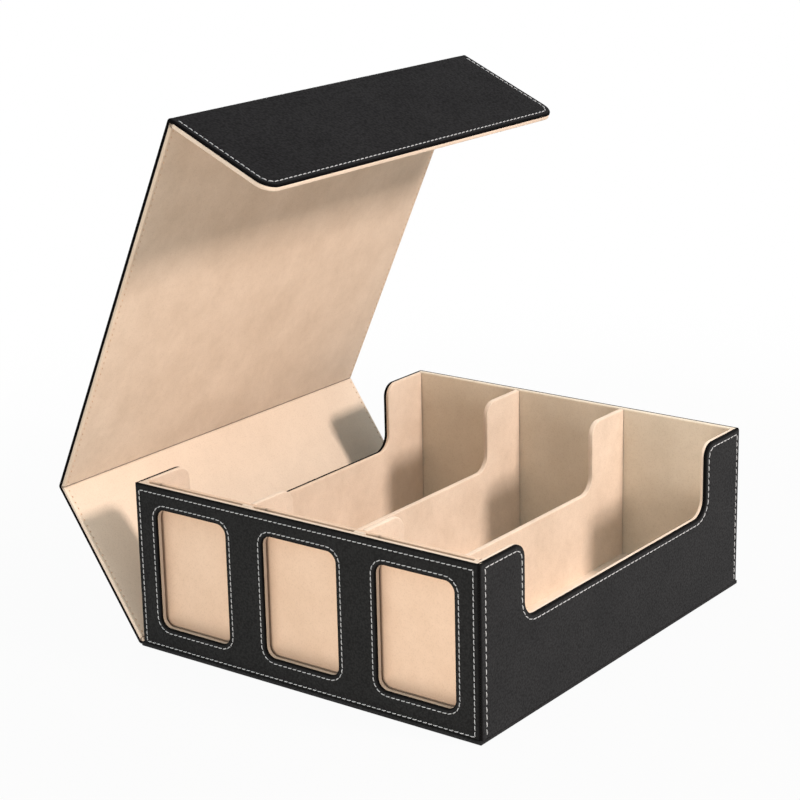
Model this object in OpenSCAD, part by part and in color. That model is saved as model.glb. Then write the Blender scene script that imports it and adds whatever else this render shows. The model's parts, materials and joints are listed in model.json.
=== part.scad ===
// A storage box for trading cards. An open tray has three rows side by side,
// with three display pockets in its front wall, and a lid of three panels
// folds up from the left, over the top and down the right-hand side.
//
// The origin is the centre of the underside. +X points to the side where the
// flap closes, +Y to the back wall and +Z up, so the display windows face -Y.

/* [Tray] */
// Width over the side walls
tray_w = 290; // [270:1:320]
// Depth from the front wall to the back wall
tray_d = 336; // [300:1:380]
// Height from the table to the top of the walls
tray_h = 122; // [114:1:140]
// Free height of a display pocket's rest above the table
pocket_rest_h = 12.5; // [9:0.5:16]

/* [Scoops in the side walls and dividers] */
// Length of the tall part of a wall at the front
shoulder_front = 51.5; // [35:0.5:70]
// Length of the tall part of a wall at the back
shoulder_back = 50; // [35:0.5:80]
// Depth of the scoop below the top of the walls
scoop_depth = 53; // [36:1:60]
// Radius of the round at the top of a shoulder
crest_r = 10.5; // [6:0.5:16]
// Radius of the sweep at the foot of a shoulder
sweep_r = 12.5; // [6:0.5:18]

/* [Display windows and pockets] */
// Width of a window
window_w = 62.5; // [50:0.5:72]
// Height of a window
window_h = 87.5; // [70:0.5:94]
// Corner radius of a window
window_r = 7.5; // [3:0.5:12]
// Width of the strip of a row that a card pocket leaves at each side
pocket_margin = 2.2; // [1:0.1:6]
// Front-to-back gap of a card pocket
pocket_gap = 2.8; // [2:0.1:5]

/* [Boards, leather and suede] */
// Thickness of the leather
leather_t = 1.0; // [0.6:0.1:1.4]
// Thickness of the suede lining
suede_t = 0.6; // [0.4:0.1:1]
// Thickness of the board in the side walls and the back wall
wall_board_t = 3.8; // [2.8:0.1:4.4]
// Thickness of the board in the front wall
front_board_t = 3.4; // [2.4:0.1:5]
// Thickness of the board behind the display pockets
inner_board_t = 2.0; // [1.5:0.1:4]
// Thickness of the board in a divider
divider_board_t = 2.8; // [1.5:0.1:4]
// Thickness of the board in the tray's floor
floor_board_t = 2.4; // [1.5:0.1:4]
// Thickness of the board in the base panel
base_board_t = 2.0; // [1.5:0.1:3]
// Thickness of a skin where it is turned over the edge of a board
turned_t = 0.8; // [0.4:0.1:1.2]
// How far the leather is turned over the edge of a side wall or lid panel
leather_turn = 1.8; // [0.5:0.1:2.2]
// How far the leather is turned over the top of the front and back walls
straight_turn = 1.0; // [0.5:0.1:1.6]

/* [Lid] */
// Thickness of the board in the lid's panels
lid_board_t = 3.8; // [2.8:0.1:4.4]
// Gap between the closed lid and the tray
lid_gap = 1.2; // [0.8:0.1:2]
// How far the lid's panels end short of the tray's front and back
lid_inset = 1.5; // [0.5:0.1:3]
// Length of the flap from its fold to its free edge
flap_l = 89; // [80:1:95]
// Radius of the flap's free corners
flap_r = 12; // [4:1:25]
// Clearance between a fold and the ends of its two panels
fold_clearance = 0.3; // [0.2:0.1:0.6]

/* [Lid pose, in degrees from closed] */
// Angle that the side panel is open
side_open = 34.2; // [0:0.1:90]
// Angle that the top panel is open from the side panel
top_open = 31.5; // [0:0.1:90]
// Angle that the flap is open from the top panel
flap_open = 0; // [0:0.1:90]

/* [Magnets] */
// Diameter of a closing magnet
magnet_d = 14; // [8:1:16]
// Thickness of a closing magnet
magnet_t = 2.0; // [1.5:0.1:2.2]
// Distance from a magnet's centre to the flap's free edge
magnet_edge = 13; // [11:0.5:18]

/* [Hidden] */
$fn = 96;

leather_colour = "#2c2b2d";
suede_colour = "#f3d3b8";
board_colour = "#b9a386";
magnet_colour = "#b4b7bb";

row_count = 3;
magnet_y_share = 0.3;
magnet_fit = 0.1;
overrun = 1;

half_w = tray_w / 2;
half_d = tray_d / 2;
wall_t = leather_t + wall_board_t + suede_t;
front_wall_t = leather_t + front_board_t + suede_t;
divider_t = divider_board_t + 2 * suede_t;
pocket_back_t = inner_board_t + 2 * suede_t;
base_t = leather_t + base_board_t;
floor_z = base_t + floor_board_t;

// Places across the tray
leather_x = half_w - leather_t;
inner_x = half_w - wall_t;
row_w = (2 * inner_x - (row_count - 1) * divider_t) / row_count;
row_pitch = row_w + divider_t;
spacer_w = divider_t + 2 * pocket_margin;

// Places from the front to the back
leather_y = half_d - leather_t;
pocket_y = -half_d + front_wall_t;
pocket_back_y = pocket_y + pocket_gap;
row_front_y = pocket_back_y + pocket_back_t;
row_back_y = half_d - wall_t;
scoop_front_y = -half_d + shoulder_front;
scoop_back_y = half_d - shoulder_back;
row_l = row_back_y - row_front_y;

// Heights
scoop_z = tray_h - scoop_depth;
window_z = (base_t + tray_h) / 2;

// The lid: its folds are axes along Y, at half the thickness of its panels
lid_t = leather_t + lid_board_t + suede_t;
lid_half = lid_t / 2;
lid_y = half_d - lid_inset;
fold_r = lid_half;
panel_end = fold_r + fold_clearance;
base_fold_x = -half_w - lid_gap - lid_half;
side_l = tray_h + lid_gap;
top_l = tray_w + 2 * lid_gap + lid_t;
base_w = half_w - base_fold_x - panel_end;
magnet_y = tray_d * magnet_y_share;
magnet_z = tray_h + lid_gap + lid_half - flap_l + magnet_edge;

function row_x(i) = (i - (row_count - 1) / 2) * row_pitch;
function divider_x(i) = (i - row_count / 2) * row_pitch;

// A flat outline in Y and Z, given a thickness towards +X
module sheet_x(x, t) {
    translate([x, 0, 0]) rotate([90, 0, 90]) linear_extrude(t) children();
}

// A flat outline in X and Z, given a thickness towards +Y
module sheet_y(y, t) {
    translate([0, y + t, 0]) rotate([90, 0, 0]) linear_extrude(t) children();
}

module box_from(low, high) {
    translate(low) cube(high - low);
}

// One tall shoulder of a wall, from its far end to the scoop, with its top
// rounded and its foot swept into the low edge. reach is its length.
module shoulder(reach, foot_z, inset) {
    top = tray_h - inset;
    low = scoop_z - inset;
    round_r = crest_r - inset;
    foot_r = sweep_r + inset;
    translate([0, foot_z]) square([reach, top - round_r - foot_z]);
    translate([0, foot_z]) square([reach - round_r, top - foot_z]);
    translate([reach - round_r, top - round_r]) circle(round_r);
    difference() {
        translate([reach - round_r, foot_z]) square([round_r + foot_r, low + foot_r - foot_z]);
        translate([reach + foot_r, low + foot_r]) circle(foot_r);
    }
}

// The outline of a wall or divider with its scoop, in Y and Z. The inset draws
// the edge of the board that a skin is turned over.
module scoop_outline(from_y, to_y, from_z, inset) {
    front_y = scoop_front_y - inset;
    back_y = scoop_back_y + inset;
    translate([from_y, from_z]) square([to_y - from_y, scoop_z - inset - from_z]);
    translate([from_y, 0]) shoulder(front_y - from_y, from_z, inset);
    translate([to_y, 0]) mirror([1, 0]) shoulder(to_y - back_y, from_z, inset);
}

// The part of a wall's outline that a turned-over skin covers
module turned_scoop(from_y, to_y, from_z) {
    difference() {
        scoop_outline(from_y, to_y, from_z, 0);
        scoop_outline(from_y - overrun, to_y + overrun, from_z - overrun, turned_t);
    }
}

// Pieces of a side wall, drawn for the right-hand side
module side_leather() {
    sheet_x(leather_x, leather_t) scoop_outline(-leather_y, leather_y, base_t, 0);
    sheet_x(leather_x - leather_turn, leather_t + leather_turn)
        turned_scoop(pocket_y, row_back_y, base_t);
}

module side_board() {
    sheet_x(leather_x - wall_board_t, wall_board_t)
        scoop_outline(pocket_y, row_back_y, base_t, turned_t);
}

module side_lining() {
    sheet_x(inner_x, suede_t) scoop_outline(pocket_y, row_back_y, base_t, 0);
    sheet_x(inner_x, suede_t + wall_board_t - leather_turn)
        turned_scoop(pocket_y, row_back_y, base_t);
}

// Disc magnets along Y, with their axes along X
module magnet_discs(x, z, d, t) {
    for (side = [-1, 1])
        translate([x, side * magnet_y, z]) rotate([0, 90, 0]) cylinder(d = d, h = t);
}

// The front wall: a leather face over a board, with a window on each row
module window_outline() {
    square([window_w - 2 * window_r, window_h], center = true);
    square([window_w, window_h - 2 * window_r], center = true);
    for (x = [-1, 1], z = [-1, 1])
        translate([x * (window_w / 2 - window_r), z * (window_h / 2 - window_r)]) circle(window_r);
}

module front_outline(top_z) {
    difference() {
        translate([-leather_x, base_t]) square([2 * leather_x, top_z - base_t]);
        for (i = [0 : row_count - 1])
            translate([row_x(i), window_z]) window_outline();
    }
}

module top_turn(from_y, to_y) {
    box_from([-leather_x, from_y, tray_h - turned_t], [leather_x, to_y, tray_h]);
}

module front_leather() {
    color(leather_colour) union() {
        sheet_y(-half_d, leather_t) front_outline(tray_h);
        top_turn(-half_d, -leather_y + straight_turn);
    }
}

module front_board() {
    color(board_colour) sheet_y(-leather_y, front_board_t) front_outline(tray_h - turned_t);
}

module front_lining() {
    color(suede_colour) union() {
        sheet_y(pocket_y - suede_t, suede_t) front_outline(tray_h);
        top_turn(-leather_y + straight_turn, pocket_y);
    }
}

// The card pockets: a rest that the cards stand on, spacers between the
// pockets and a suede-covered board behind them
module pocket_rest() {
    color(board_colour) box_from([-inner_x, pocket_y, base_t], [inner_x, pocket_back_y, pocket_rest_h]);
}

module pocket_spacer(x, w) {
    color(suede_colour) box_from([x, pocket_y, pocket_rest_h], [x + w, pocket_back_y, tray_h]);
}

module pocket_spacer_left_end() {
    pocket_spacer(-inner_x, pocket_margin);
}

module pocket_spacer_left() {
    pocket_spacer(divider_x(1) - spacer_w / 2, spacer_w);
}

module pocket_spacer_right() {
    pocket_spacer(divider_x(2) - spacer_w / 2, spacer_w);
}

module pocket_spacer_right_end() {
    pocket_spacer(inner_x - pocket_margin, pocket_margin);
}

module pocket_back_board() {
    color(board_colour) box_from(
        [-inner_x, pocket_back_y + suede_t, base_t],
        [inner_x, row_front_y - suede_t, tray_h - turned_t]
    );
}

module pocket_back_cover() {
    color(suede_colour) difference() {
        box_from([-inner_x, pocket_back_y, base_t], [inner_x, row_front_y, tray_h]);
        box_from(
            [-inner_x - overrun, pocket_back_y + suede_t, base_t - overrun],
            [inner_x + overrun, row_front_y - suede_t, tray_h - turned_t]
        );
    }
}

// The back wall
module back_sheet(y, t, top_z) {
    box_from([-leather_x, y, base_t], [leather_x, y + t, top_z]);
}

module back_wall_leather() {
    color(leather_colour) union() {
        back_sheet(leather_y, leather_t, tray_h);
        top_turn(leather_y - straight_turn, half_d);
    }
}

module back_wall_board() {
    color(board_colour) back_sheet(leather_y - wall_board_t, wall_board_t, tray_h - turned_t);
}

module back_wall_lining() {
    color(suede_colour) union() {
        back_sheet(row_back_y, suede_t, tray_h);
        top_turn(row_back_y, leather_y - straight_turn);
    }
}

// The side walls
module left_wall_leather() {
    color(leather_colour) mirror([1, 0, 0]) side_leather();
}

module left_wall_board() {
    color(board_colour) mirror([1, 0, 0]) side_board();
}

module left_wall_lining() {
    color(suede_colour) mirror([1, 0, 0]) side_lining();
}

module right_wall_leather() {
    color(leather_colour) side_leather();
}

module right_wall_board() {
    color(board_colour) difference() {
        side_board();
        magnet_discs(leather_x - magnet_t - magnet_fit, magnet_z,
            magnet_d + 2 * magnet_fit, magnet_t + magnet_fit + overrun);
    }
}

module right_wall_lining() {
    color(suede_colour) side_lining();
}

module wall_magnets() {
    color(magnet_colour) magnet_discs(leather_x - magnet_t, magnet_z, magnet_d, magnet_t);
}

// A divider: a scooped board with suede folded over its top edge
module divider_board(i) {
    color(board_colour) sheet_x(divider_x(i) - divider_board_t / 2, divider_board_t)
        scoop_outline(row_front_y, row_back_y, floor_z, turned_t);
}

module divider_cover(i) {
    color(suede_colour) difference() {
        sheet_x(divider_x(i) - divider_t / 2, divider_t)
            scoop_outline(row_front_y, row_back_y, floor_z, 0);
        sheet_x(divider_x(i) - divider_board_t / 2, divider_board_t)
            scoop_outline(row_front_y - overrun, row_back_y + overrun, floor_z - overrun, turned_t);
    }
}

module divider_left_board() {
    divider_board(1);
}

module divider_left_cover() {
    divider_cover(1);
}

module divider_right_board() {
    divider_board(2);
}

module divider_right_cover() {
    divider_cover(2);
}

// The floor of the tray and the base panel of the lid that it stands on
module floor_board() {
    color(board_colour) box_from([-inner_x, row_front_y, base_t], [inner_x, row_back_y, floor_z]);
}

module floor_lining(i) {
    color(suede_colour) translate([row_x(i) - row_w / 2, row_front_y, floor_z]) cube([row_w, row_l, suede_t]);
}

module floor_lining_left() {
    floor_lining(0);
}

module floor_lining_middle() {
    floor_lining(1);
}

module floor_lining_right() {
    floor_lining(2);
}

module base_leather() {
    color(leather_colour) difference() {
        box_from([half_w - base_w, -half_d, 0], [half_w, half_d, base_t]);
        box_from(
            [half_w - base_w - overrun, -leather_y, leather_t],
            [leather_x, leather_y, base_t + overrun]
        );
    }
}

module base_board() {
    color(board_colour) box_from([half_w - base_w, -leather_y, leather_t], [leather_x, leather_y, base_t]);
}

// The lid's panels are drawn upright on their fold, with their leather at -X
// and their suede at +X, and then turned about the folds.
module on_side_panel() {
    translate([base_fold_x, 0, lid_half]) rotate([0, -side_open, 0]) children();
}

module on_top_panel() {
    on_side_panel() translate([0, 0, side_l]) rotate([0, 90 - top_open, 0]) children();
}

module on_flap() {
    on_top_panel() translate([0, 0, top_l]) rotate([0, 90 - flap_open, 0]) children();
}

module fold() {
    color(leather_colour) rotate([90, 0, 0]) cylinder(r = fold_r, h = 2 * lid_y, center = true);
}

// Outline of a panel between two folds
module panel_outline(length, inset, extra = 0) {
    translate([-lid_y + inset, panel_end - extra])
        square([2 * (lid_y - inset), length - 2 * panel_end + 2 * extra]);
}

// Outline of the flap, with round corners at its free edge
module flap_outline(inset, extra = 0) {
    corner_r = flap_r - inset;
    free_z = flap_l - inset;
    low_z = panel_end - extra;
    translate([-lid_y + inset, low_z]) square([2 * (lid_y - inset), free_z - corner_r - low_z]);
    translate([-lid_y + flap_r, low_z]) square([2 * (lid_y - flap_r), free_z - low_z]);
    for (side = [-1, 1])
        translate([side * (lid_y - flap_r), free_z - corner_r]) circle(corner_r);
}

// The leather of a panel. The children are its outline and its board's.
module panel_leather() {
    color(leather_colour) union() {
        sheet_x(-lid_half, leather_t) children(0);
        sheet_x(-lid_half, leather_t + leather_turn) difference() {
            children(0);
            children(1);
        }
    }
}

module panel_lining() {
    turn = lid_board_t - leather_turn;
    color(suede_colour) union() {
        sheet_x(lid_half - suede_t, suede_t) children(0);
        sheet_x(lid_half - suede_t - turn, suede_t + turn) difference() {
            children(0);
            children(1);
        }
    }
}

module panel_board() {
    color(board_colour) sheet_x(-lid_half + leather_t, lid_board_t) children();
}

module base_fold() {
    on_side_panel() fold();
}

module side_panel_leather() {
    on_side_panel() panel_leather() {
        panel_outline(side_l, 0);
        panel_outline(side_l, turned_t, overrun);
    }
}

module side_panel_board() {
    on_side_panel() panel_board() panel_outline(side_l, turned_t);
}

module side_panel_lining() {
    on_side_panel() panel_lining() {
        panel_outline(side_l, 0);
        panel_outline(side_l, turned_t, overrun);
    }
}

module top_fold() {
    on_top_panel() fold();
}

module top_panel_leather() {
    on_top_panel() panel_leather() {
        panel_outline(top_l, 0);
        panel_outline(top_l, turned_t, overrun);
    }
}

module top_panel_board() {
    on_top_panel() panel_board() panel_outline(top_l, turned_t);
}

module top_panel_lining() {
    on_top_panel() panel_lining() {
        panel_outline(top_l, 0);
        panel_outline(top_l, turned_t, overrun);
    }
}

module flap_fold() {
    on_flap() fold();
}

module flap_leather() {
    on_flap() panel_leather() {
        flap_outline(0);
        flap_outline(turned_t, overrun);
    }
}

module flap_board() {
    on_flap() difference() {
        panel_board() flap_outline(turned_t);
        magnet_discs(lid_half - suede_t - magnet_t - magnet_fit, flap_l - magnet_edge,
            magnet_d + 2 * magnet_fit, magnet_t + magnet_fit + overrun);
    }
}

module flap_lining() {
    on_flap() panel_lining() {
        flap_outline(0);
        flap_outline(turned_t, overrun);
    }
}

module flap_magnets() {
    on_flap() color(magnet_colour)
        magnet_discs(lid_half - suede_t - magnet_t, flap_l - magnet_edge, magnet_d, magnet_t);
}

base_leather();
base_board();
floor_board();
floor_lining_left();
floor_lining_middle();
floor_lining_right();
front_leather();
front_board();
front_lining();
pocket_rest();
pocket_spacer_left_end();
pocket_spacer_left();
pocket_spacer_right();
pocket_spacer_right_end();
pocket_back_board();
pocket_back_cover();
left_wall_leather();
left_wall_board();
left_wall_lining();
right_wall_leather();
right_wall_board();
right_wall_lining();
back_wall_leather();
back_wall_board();
back_wall_lining();
divider_left_board();
divider_left_cover();
divider_right_board();
divider_right_cover();
wall_magnets();
base_fold();
side_panel_leather();
side_panel_board();
side_panel_lining();
top_fold();
top_panel_leather();
top_panel_board();
top_panel_lining();
flap_fold();
flap_leather();
flap_board();
flap_lining();
flap_magnets();
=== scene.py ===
import json
import logging
import math
from dataclasses import dataclass, replace
from enum import Enum

import bmesh
import bpy
import numpy as np
from mathutils import Matrix, Vector


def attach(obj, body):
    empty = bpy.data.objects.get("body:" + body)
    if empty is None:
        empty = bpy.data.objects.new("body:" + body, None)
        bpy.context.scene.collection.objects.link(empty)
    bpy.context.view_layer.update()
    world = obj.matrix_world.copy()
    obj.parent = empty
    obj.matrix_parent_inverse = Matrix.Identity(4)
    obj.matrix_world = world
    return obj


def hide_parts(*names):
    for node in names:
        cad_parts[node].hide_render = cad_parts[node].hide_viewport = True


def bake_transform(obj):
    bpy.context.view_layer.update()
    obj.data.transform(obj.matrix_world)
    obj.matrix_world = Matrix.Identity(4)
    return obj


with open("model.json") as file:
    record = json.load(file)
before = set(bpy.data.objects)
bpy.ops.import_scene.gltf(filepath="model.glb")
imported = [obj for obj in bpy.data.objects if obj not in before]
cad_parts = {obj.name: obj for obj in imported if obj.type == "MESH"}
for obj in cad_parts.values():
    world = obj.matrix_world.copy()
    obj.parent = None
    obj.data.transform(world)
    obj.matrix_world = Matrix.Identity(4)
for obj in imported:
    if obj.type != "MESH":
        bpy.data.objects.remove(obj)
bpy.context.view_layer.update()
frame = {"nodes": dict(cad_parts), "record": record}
LOG = logging.getLogger("card_box")
Array = np.ndarray
Tree = bpy.types.NodeTree
Socket = bpy.types.NodeSocket
Vec = tuple[float, float, float]
X, Y, Z = (1.0, 0.0, 0.0), (0.0, 1.0, 0.0), (0.0, 0.0, 1.0)
DOWN = np.array([0.0, -1.0])
MM = 0.001
# A distance that is further than any edge.
FAR = 1.0
# How far from an edge a skin's painted shade reaches.
RIM_WIDTH = 1.2 * MM
# Rows of a turned edge that lie in its tuck, before the edge's own round.
TUCK_ROWS = 5
# How far in the first row of a tuck lies, in tucks.
TUCK_MOUTH = 2.2
# Rows across a trough, in widths from its middle.
TROUGH_ROWS = (-2.2, -1.2, -0.6, 0, 0.6, 1.2, 2.2)
# Points closer than this are one point.
WELD = 1e-6
WHITE = "#ffffff"


def linear(code: str) -> tuple[float, float, float, float]:
    """Turns an sRGB colour into linear light.

    A channel is divided by 12.92 below 0.04045, and above that goes through
    the 2.4 power of the standard curve.

    Args:
        code: The colour as "#rrggbb".

    Returns:
        Red, green, blue and an alpha of 1.
    """
    srgb = np.array([int(code[i : i + 2], 16) for i in (1, 3, 5)]) / 255
    light = np.where(srgb <= 0.04045, srgb / 12.92, ((srgb + 0.055) / 1.055) ** 2.4)
    return (*light.tolist(), 1.0)


# ---------------------------------------------------------------- nodes


def set_inputs(node: bpy.types.Node, inputs: dict) -> None:
    """Sets inputs by name or number, each to a constant or to a socket."""
    for name, value in inputs.items():
        if isinstance(value, Socket):
            node.id_data.links.new(value, node.inputs[name])
        else:
            node.inputs[name].default_value = value


def add_node(tree: Tree, kind: str, inputs: dict | None = None, **settings: object) -> bpy.types.Node:
    """Adds a shader node.

    Args:
        tree: The material's or the world's node tree.
        kind: The node's type, without the word ShaderNode.
        inputs: Constants and sockets for its inputs, by name or number.
        **settings: The node's own settings.

    Returns:
        The new node.
    """
    node = tree.nodes.new("ShaderNode" + kind)
    for name, value in settings.items():
        setattr(node, name, value)
    set_inputs(node, inputs or {})
    return node


def calc(tree: Tree, operation: str, *values: object) -> Socket:
    """Does arithmetic on constants and sockets."""
    return add_node(tree, "Math", dict(enumerate(values)), operation=operation).outputs["Value"]


def mix(
    tree: Tree, factor: object, first: object, second: object, kind: str = "RGBA", **settings: object
) -> Socket:
    """Mixes two colours, or two numbers where kind is FLOAT."""
    inputs = {"Factor": factor, "A": first, "B": second}
    return add_node(tree, "Mix", inputs, data_type=kind, **settings).outputs["Result"]


def remap(tree: Tree, value: Socket, source: tuple, target: tuple, **settings: object) -> Socket:
    """Maps a value from one range to another."""
    inputs = dict(zip(("From Min", "From Max", "To Min", "To Max"), (*source, *target)))
    return add_node(tree, "MapRange", {"Value": value, **inputs}, **settings).outputs["Result"]


def bump(tree: Tree, height: Socket, strength: float, depth: float) -> Socket:
    """Bends the shading as if the surface were lifted by a height."""
    inputs = {"Height": height, "Strength": strength, "Distance": depth}
    return add_node(tree, "Bump", inputs).outputs["Normal"]


def rim(tree: Tree) -> Socket:
    """Reads the painted shade that the mesh gives a point at an edge, a crease or a recess."""
    return add_node(tree, "Attribute", attribute_name="rim").outputs["Fac"]


def blotches(tree: Tree, size_mm: float, detail: float, stretch: Vec = (1, 1, 1)) -> Socket:
    """Adds noise in object coordinates whose patches are about size_mm across.

    Args:
        tree: The material's node tree.
        size_mm: Size of a patch in millimetres.
        detail: Number of finer octaves.
        stretch: Scale of the coordinates along X, Y and Z.

    Returns:
        The noise, around 0.5.
    """
    place = add_node(tree, "TexCoord").outputs["Object"]
    scaled = add_node(tree, "Mapping", {"Scale": stretch, "Vector": place}).outputs["Vector"]
    noise = {"Vector": scaled, "Scale": 1 / (size_mm * MM), "Detail": detail, "Roughness": 0.55}
    return add_node(tree, "TexNoise", noise).outputs["Fac"]


def fade(tree: Tree, value: Socket, first: str, second: str, low: float = 0.3, high: float = 0.7) -> Socket:
    """Fades from one colour to another as a value goes from low to high."""
    node = add_node(tree, "ValToRGB", {"Fac": value})
    for stop, position, code in zip(node.color_ramp.elements, (low, high), (first, second)):
        stop.position, stop.color = position, linear(code)
    return node.outputs["Color"]


# ---------------------------------------------------------------- finishes


@dataclass(frozen=True)
class Finish:
    """What a piece is made of, and the record's slot that it belongs to."""

    name: str
    slot: str

    def paint(self, tree: Tree) -> dict:
        """Gives the shader's inputs; each finish has its own."""
        raise NotImplementedError

    def material(self) -> bpy.types.Material:
        """Gives the finish's material, made the first time it is asked for."""
        made = bpy.data.materials.get(self.name)
        if made is None:
            made = bpy.data.materials.new(self.name)
            made.use_nodes = True
            set_inputs(made.node_tree.nodes["Principled BSDF"], self.paint(made.node_tree))
        return made


@dataclass(frozen=True)
class GrainedLeather(Finish):
    """Embossed synthetic leather: dull black with a pebble grain, painted near
    black as shade over its turned edges and in its tucks."""

    name: str = "leather_black_grained_pu"
    slot: str = "leather"
    light: str = "#2f3032"
    dark: str = "#292a2c"
    gloss: float = 0.06
    relief: float = 0.55
    # The real grain is likely about 0.8 mm; it is drawn larger so that it shows.
    grain_mm: float = 1.3
    pore_mm: float = 0.55
    cloud_mm: float = 38
    pit: str = "#8c8c8c"
    # Painted shade over the turned edges and in the tucks.
    edge_shade: str = "#0b0b0c"

    def paint(self, tree: Tree) -> dict:
        """Voronoi pebbles and fine noise lift the surface and darken its pits;
        broad noise varies its colour, and painted shade darkens edges and tucks."""
        place = add_node(tree, "TexCoord").outputs["Object"]
        cells = {"Vector": place, "Scale": 1 / (self.grain_mm * MM), "Randomness": 0.9}
        pebbles = add_node(tree, "TexVoronoi", cells, feature="SMOOTH_F1").outputs["Distance"]
        grain = calc(tree, "MULTIPLY_ADD", blotches(tree, self.pore_mm, 3), 0.45, pebbles)
        tone = fade(tree, blotches(tree, self.cloud_mm, 4), self.dark, self.light)
        pits = fade(tree, grain, WHITE, self.pit, 0.45, 0.85)
        pitted = mix(tree, 0.6, tone, pits, blend_type="MULTIPLY")
        # edge is the painted shade, which also roughens the edges.
        edge, shine = rim(tree), remap(tree, pebbles, (0.2, 0.8), (0.52, 0.66))
        return {
            "Base Color": mix(tree, edge, pitted, linear(self.edge_shade)),
            "Roughness": mix(tree, edge, shine, 0.9, "FLOAT"),
            "Normal": bump(tree, grain, self.relief, 0.2 * MM),
            "Specular IOR Level": self.gloss,
        }


@dataclass(frozen=True)
class Suede(Finish):
    """Synthetic suede: cream, matt and cloudy, because its short nap lies this
    way and that."""

    name: str = "suede_cream_microfibre"
    slot: str = "suede"
    light: str = "#e9d9c9"
    dark: str = "#dac9b8"
    cloud_mm: float = 30
    mark_mm: float = 6
    # Fibres are under 0.1 mm; what is drawn are tufts of them.
    tuft_mm: float = 0.9
    parting: str = "#d8d1ca"
    # Painted shade in creases, corners, window reveals and pocket recesses.
    crease: str = "#4a3a2e"

    def paint(self, tree: Tree) -> dict:
        """Clouds and brush marks vary the colour, tufts roughen the surface,
        and the painted shade attribute darkens creases, corners and recesses."""
        clouds, marks = (blotches(tree, size, 4) for size in (self.cloud_mm, self.mark_mm))
        tone = fade(tree, mix(tree, 0.3, clouds, marks, "FLOAT"), self.dark, self.light, 0.34, 0.66)
        tufts = blotches(tree, self.tuft_mm, 4, (1.0, 0.8, 0.9))
        deep = fade(tree, tufts, self.parting, WHITE, 0.25, 0.5)
        nap = mix(tree, 0.35, tone, deep, blend_type="MULTIPLY")
        # The painted shade attribute blends in the crease colour.
        return {
            "Base Color": mix(tree, rim(tree), nap, linear(self.crease)),
            "Normal": bump(tree, tufts, 0.45, 0.3 * MM),
            "Roughness": 0.95,
            "Specular IOR Level": 0.1,
            "Sheen Weight": 0.12,
            "Sheen Roughness": 0.6,
        }


@dataclass(frozen=True)
class Thread(Finish):
    """Bonded polyester thread, slightly shiny."""

    name: str = "thread_offwhite_polyester"
    slot: str = "suede"
    colour: str = "#cfd3d8"
    shade: str = "#a7abb0"

    def paint(self, tree: Tree) -> dict:
        """Fine noise stands for the twist of the plies."""
        twist = blotches(tree, 0.6, 2)
        return {
            "Base Color": fade(tree, twist, self.shade, self.colour),
            "Normal": bump(tree, twist, 0.5, 0.2 * MM),
            "Roughness": 0.55,
            "Sheen Weight": 0.1,
        }


@dataclass(frozen=True)
class Greyboard(Finish):
    """Pressed recycled greyboard: dull brown-grey with fibre flecks."""

    name: str = "board_pressed_grey"
    slot: str = "board"

    def paint(self, tree: Tree) -> dict:
        """Flecks of 1.5 mm, drawn out along the board, on a plain ground."""
        flecks = blotches(tree, 1.5, 4, (1.0, 0.5, 1.0))
        return {
            "Base Color": fade(tree, flecks, "#a48f75", "#c4b091"),
            "Normal": bump(tree, flecks, 0.3, 0.2 * MM),
            "Roughness": 0.9,
        }


@dataclass(frozen=True)
class NickelPlate(Finish):
    """Nickel plate on the magnets: bright, with faint streaks."""

    name: str = "magnet_nickel_plated"
    slot: str = "magnet"

    def paint(self, tree: Tree) -> dict:
        """A bright metal with streaky roughness."""
        streaks = blotches(tree, 0.8, 3, (1.0, 0.2, 1.0))
        return {
            "Base Color": fade(tree, streaks, "#b6b4ae", "#d2d0ca"),
            "Roughness": remap(tree, streaks, (0.0, 1.0), (0.22, 0.4)),
            "Metallic": 1.0,
        }


LEATHER = GrainedLeather()
# Darker copies of the leather for the front wall and the lid: painted shade.
FRONT_SHADED_LEATHER = GrainedLeather("leather_black_grained_front", "leather", "#292a2b", "#242526")
LID_SHADED_LEATHER = GrainedLeather("leather_black_grained_lid_painted_shade", "leather", "#212123", "#1b1b1d", 0.03, 0.6, 1.7)
SUEDE = Suede()
# Copies of the same suede retinted for the light on each part: painted light
# on the back wall and the side panel, painted shade on the top panel, and
# painted warm light, with less cloud, on the pockets.
BACK_LIT_SUEDE = Suede("suede_cream_back_wall_painted_light", "suede", "#e6dccc", "#ddd2c1")
POCKET_WARM_LIT_SUEDE = Suede("suede_cream_pocket_painted_warm_light", "suede", "#ebd0b9", "#e3c7af")
SIDE_LIT_SUEDE = Suede("suede_cream_side_panel_painted_light", "suede", "#ebdbca", "#e4d4c3")
TOP_SHADED_SUEDE = Suede("suede_cream_top_panel_painted_shade", "suede", "#dfcebc", "#d2c0ad")
THREAD = Thread()
LINING_THREAD = Thread("thread_tan_polyester", "suede", "#d6b698", "#b08c6c")
BOARD = Greyboard()
NICKEL = NickelPlate()


# ---------------------------------------------------------------- surfaces


@dataclass(frozen=True)
class Plane:
    """A face's plane: an origin, the directions of its two coordinates and
    the direction that it faces."""

    origin: Vec
    along: Vec
    up: Vec
    out: Vec

    def place(self, flat: Array, depth: Array) -> Array:
        """Places flat points below the face: origin + a times along + b times
        up - depth times out.

        Args:
            flat: Points in the plane, (..., 2).
            depth: How far each lies below the face.

        Returns:
            Points in space, (..., 3).
        """
        along, up, out = (np.array(v, float) for v in (self.along, self.up, self.out))
        face = np.array(self.origin) + flat[..., :1] * along + flat[..., 1:2] * up
        return face - depth[..., None] * out

    def lift(self, flat: Array, height: float = 0.0) -> Array:
        """Places flat points at one height above the face."""
        return self.place(flat, np.full(flat.shape[:-1], -height))


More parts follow.
